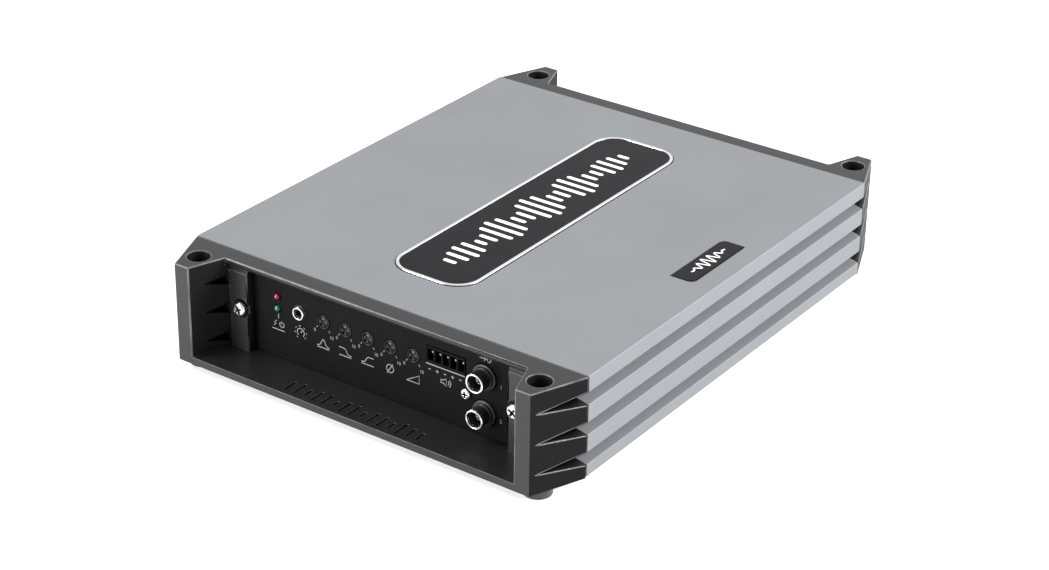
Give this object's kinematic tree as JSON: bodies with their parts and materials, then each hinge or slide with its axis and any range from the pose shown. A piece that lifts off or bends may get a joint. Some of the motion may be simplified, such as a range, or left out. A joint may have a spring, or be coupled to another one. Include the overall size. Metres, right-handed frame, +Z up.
{
  "type": "car audio amplifier",
  "caption": "Low rectangular car audio amplifier: grooved aluminium housing, two dark end caps with screw ears, a recessed control panel, wire terminals and rubber feet.",
  "frame": {"origin": "middle of the footprint, on the plane that the four feet stand on", "axes": "+Z up, -Y towards the end with the controls, +Y towards the end with the wire terminals, +X to the right seen from the controls"},
  "size_m": [0.2, 0.266, 0.0505],
  "materials": {
    "heatsink": "satin silver-grey anodised extrusion",
    "zinc_steel": "zinc-plated steel",
    "end_cap": "satin graphite moulding with a fine grain",
    "panel": "matt black powder coat with light grey markings",
    "bright_metal": "bright nickel plate",
    "gloss_black": "gloss black",
    "rubber": "matt black rubber",
    "black_plastic": "black moulded plastic",
    "trimmer_grey": "dark grey nylon",
    "red_lens": "clear red epoxy",
    "green_lens": "clear green epoxy",
    "circuit_board": "green solder resist",
    "copper_wire": "enamelled copper wire",
    "capacitor_sleeve": "shrunk plastic sleeve",
    "fuse_amber": "translucent amber plastic"
  },
  "bodies": {
    "amplifier": {"heatsink_housing": "heatsink", "base_plate": "zinc_steel", "front_end_cap": "end_cap", "rear_end_cap": "end_cap", "control_panel": "panel", "terminal_panel": "panel", "badge_rim": "bright_metal", "badge_face": "gloss_black", "model_badge": "gloss_black", "foot_front_left": "rubber", "cap_screw_front_left": "bright_metal", "base_screw_front_left": "zinc_steel", "foot_front_right": "rubber", "cap_screw_front_right": "bright_metal", "base_screw_front_right": "zinc_steel", "foot_rear_left": "rubber", "cap_screw_rear_left": "bright_metal", "base_screw_rear_left": "zinc_steel", "foot_rear_right": "rubber", "cap_screw_rear_right": "bright_metal", "base_screw_rear_right": "zinc_steel", "protect_led": "red_lens", "power_led": "green_lens", "remote_jack_body": "black_plastic", "remote_jack_nut": "bright_metal", "speaker_input_socket": "black_plastic", "speaker_input_pins": "bright_metal", "rca_block": "black_plastic", "rca_shell_upper": "bright_metal", "rca_shell_lower": "bright_metal", "rca_block_screw": "bright_metal", "control_board": "circuit_board", "power_terminal_tray": "black_plastic", "power_terminal_1": "bright_metal", "power_terminal_2": "bright_metal", "power_terminal_3": "bright_metal", "speaker_terminal_tray": "black_plastic", "speaker_terminal_1": "bright_metal", "speaker_terminal_2": "bright_metal", "fuse_holder": "black_plastic", "main_board": "circuit_board", "transformer_core": "copper_wire", "output_choke": "copper_wire", "transistor_row_left": "black_plastic", "transistor_row_right": "black_plastic", "reservoir_capacitor_1": "capacitor_sleeve", "reservoir_capacitor_2": "capacitor_sleeve", "reservoir_capacitor_3": "capacitor_sleeve"},
    "boost_trimmer": {"boost_trimmer": "trimmer_grey"},
    "low_pass_trimmer": {"low_pass_trimmer": "trimmer_grey"},
    "subsonic_trimmer": {"subsonic_trimmer": "trimmer_grey"},
    "phase_trimmer": {"phase_trimmer": "trimmer_grey"},
    "level_trimmer": {"level_trimmer": "trimmer_grey"},
    "power_terminal_screw_1": {"power_terminal_screw_1": "zinc_steel"},
    "power_terminal_screw_2": {"power_terminal_screw_2": "zinc_steel"},
    "power_terminal_screw_3": {"power_terminal_screw_3": "zinc_steel"},
    "speaker_terminal_screw_1": {"speaker_terminal_screw_1": "zinc_steel"},
    "speaker_terminal_screw_2": {"speaker_terminal_screw_2": "zinc_steel"},
    "fuse_lower": {"fuse_lower": "fuse_amber"},
    "fuse_upper": {"fuse_upper": "fuse_amber"}
  },
  "joints": [
    {"name": "boost_turn", "type": "hinge", "parent": "amplifier", "child": "boost_trimmer", "pos_m": [-0.0292, -0.1114, 0.0324], "axis": [0, 1, 0], "range_deg": [-140, 140]},
    {"name": "low_pass_turn", "type": "hinge", "parent": "amplifier", "child": "low_pass_trimmer", "pos_m": [-0.01755, -0.1114, 0.0324], "axis": [0, 1, 0], "range_deg": [-140, 140]},
    {"name": "subsonic_turn", "type": "hinge", "parent": "amplifier", "child": "subsonic_trimmer", "pos_m": [-0.0059, -0.1114, 0.0324], "axis": [0, 1, 0], "range_deg": [-140, 140]},
    {"name": "phase_turn", "type": "hinge", "parent": "amplifier", "child": "phase_trimmer", "pos_m": [0.00575, -0.1114, 0.0324], "axis": [0, 1, 0], "range_deg": [-140, 140]},
    {"name": "level_turn", "type": "hinge", "parent": "amplifier", "child": "level_trimmer", "pos_m": [0.0174, -0.1114, 0.0324], "axis": [0, 1, 0], "range_deg": [-140, 140]},
    {"name": "power_terminal_screw_1_turn", "type": "hinge", "parent": "amplifier", "child": "power_terminal_screw_1", "pos_m": [0.022, 0.1215, 0.0275], "axis": [0, 0, 1], "range_deg": [0, 720]},
    {"name": "power_terminal_screw_2_turn", "type": "hinge", "parent": "amplifier", "child": "power_terminal_screw_2", "pos_m": [0.038, 0.1215, 0.0275], "axis": [0, 0, 1], "range_deg": [0, 720]},
    {"name": "power_terminal_screw_3_turn", "type": "hinge", "parent": "amplifier", "child": "power_terminal_screw_3", "pos_m": [0.054, 0.1215, 0.0275], "axis": [0, 0, 1], "range_deg": [0, 720]},
    {"name": "speaker_terminal_screw_1_turn", "type": "hinge", "parent": "amplifier", "child": "speaker_terminal_screw_1", "pos_m": [-0.05, 0.1215, 0.0275], "axis": [0, 0, 1], "range_deg": [0, 720]},
    {"name": "speaker_terminal_screw_2_turn", "type": "hinge", "parent": "amplifier", "child": "speaker_terminal_screw_2", "pos_m": [-0.034, 0.1215, 0.0275], "axis": [0, 0, 1], "range_deg": [0, 720]},
    {"name": "fuse_lower_pull", "type": "slide", "parent": "amplifier", "child": "fuse_lower", "axis": [0, 1, 0], "range_m": [0, 0.018]},
    {"name": "fuse_upper_pull", "type": "slide", "parent": "amplifier", "child": "fuse_upper", "axis": [0, 1, 0], "range_m": [0, 0.018]}
  ]
}
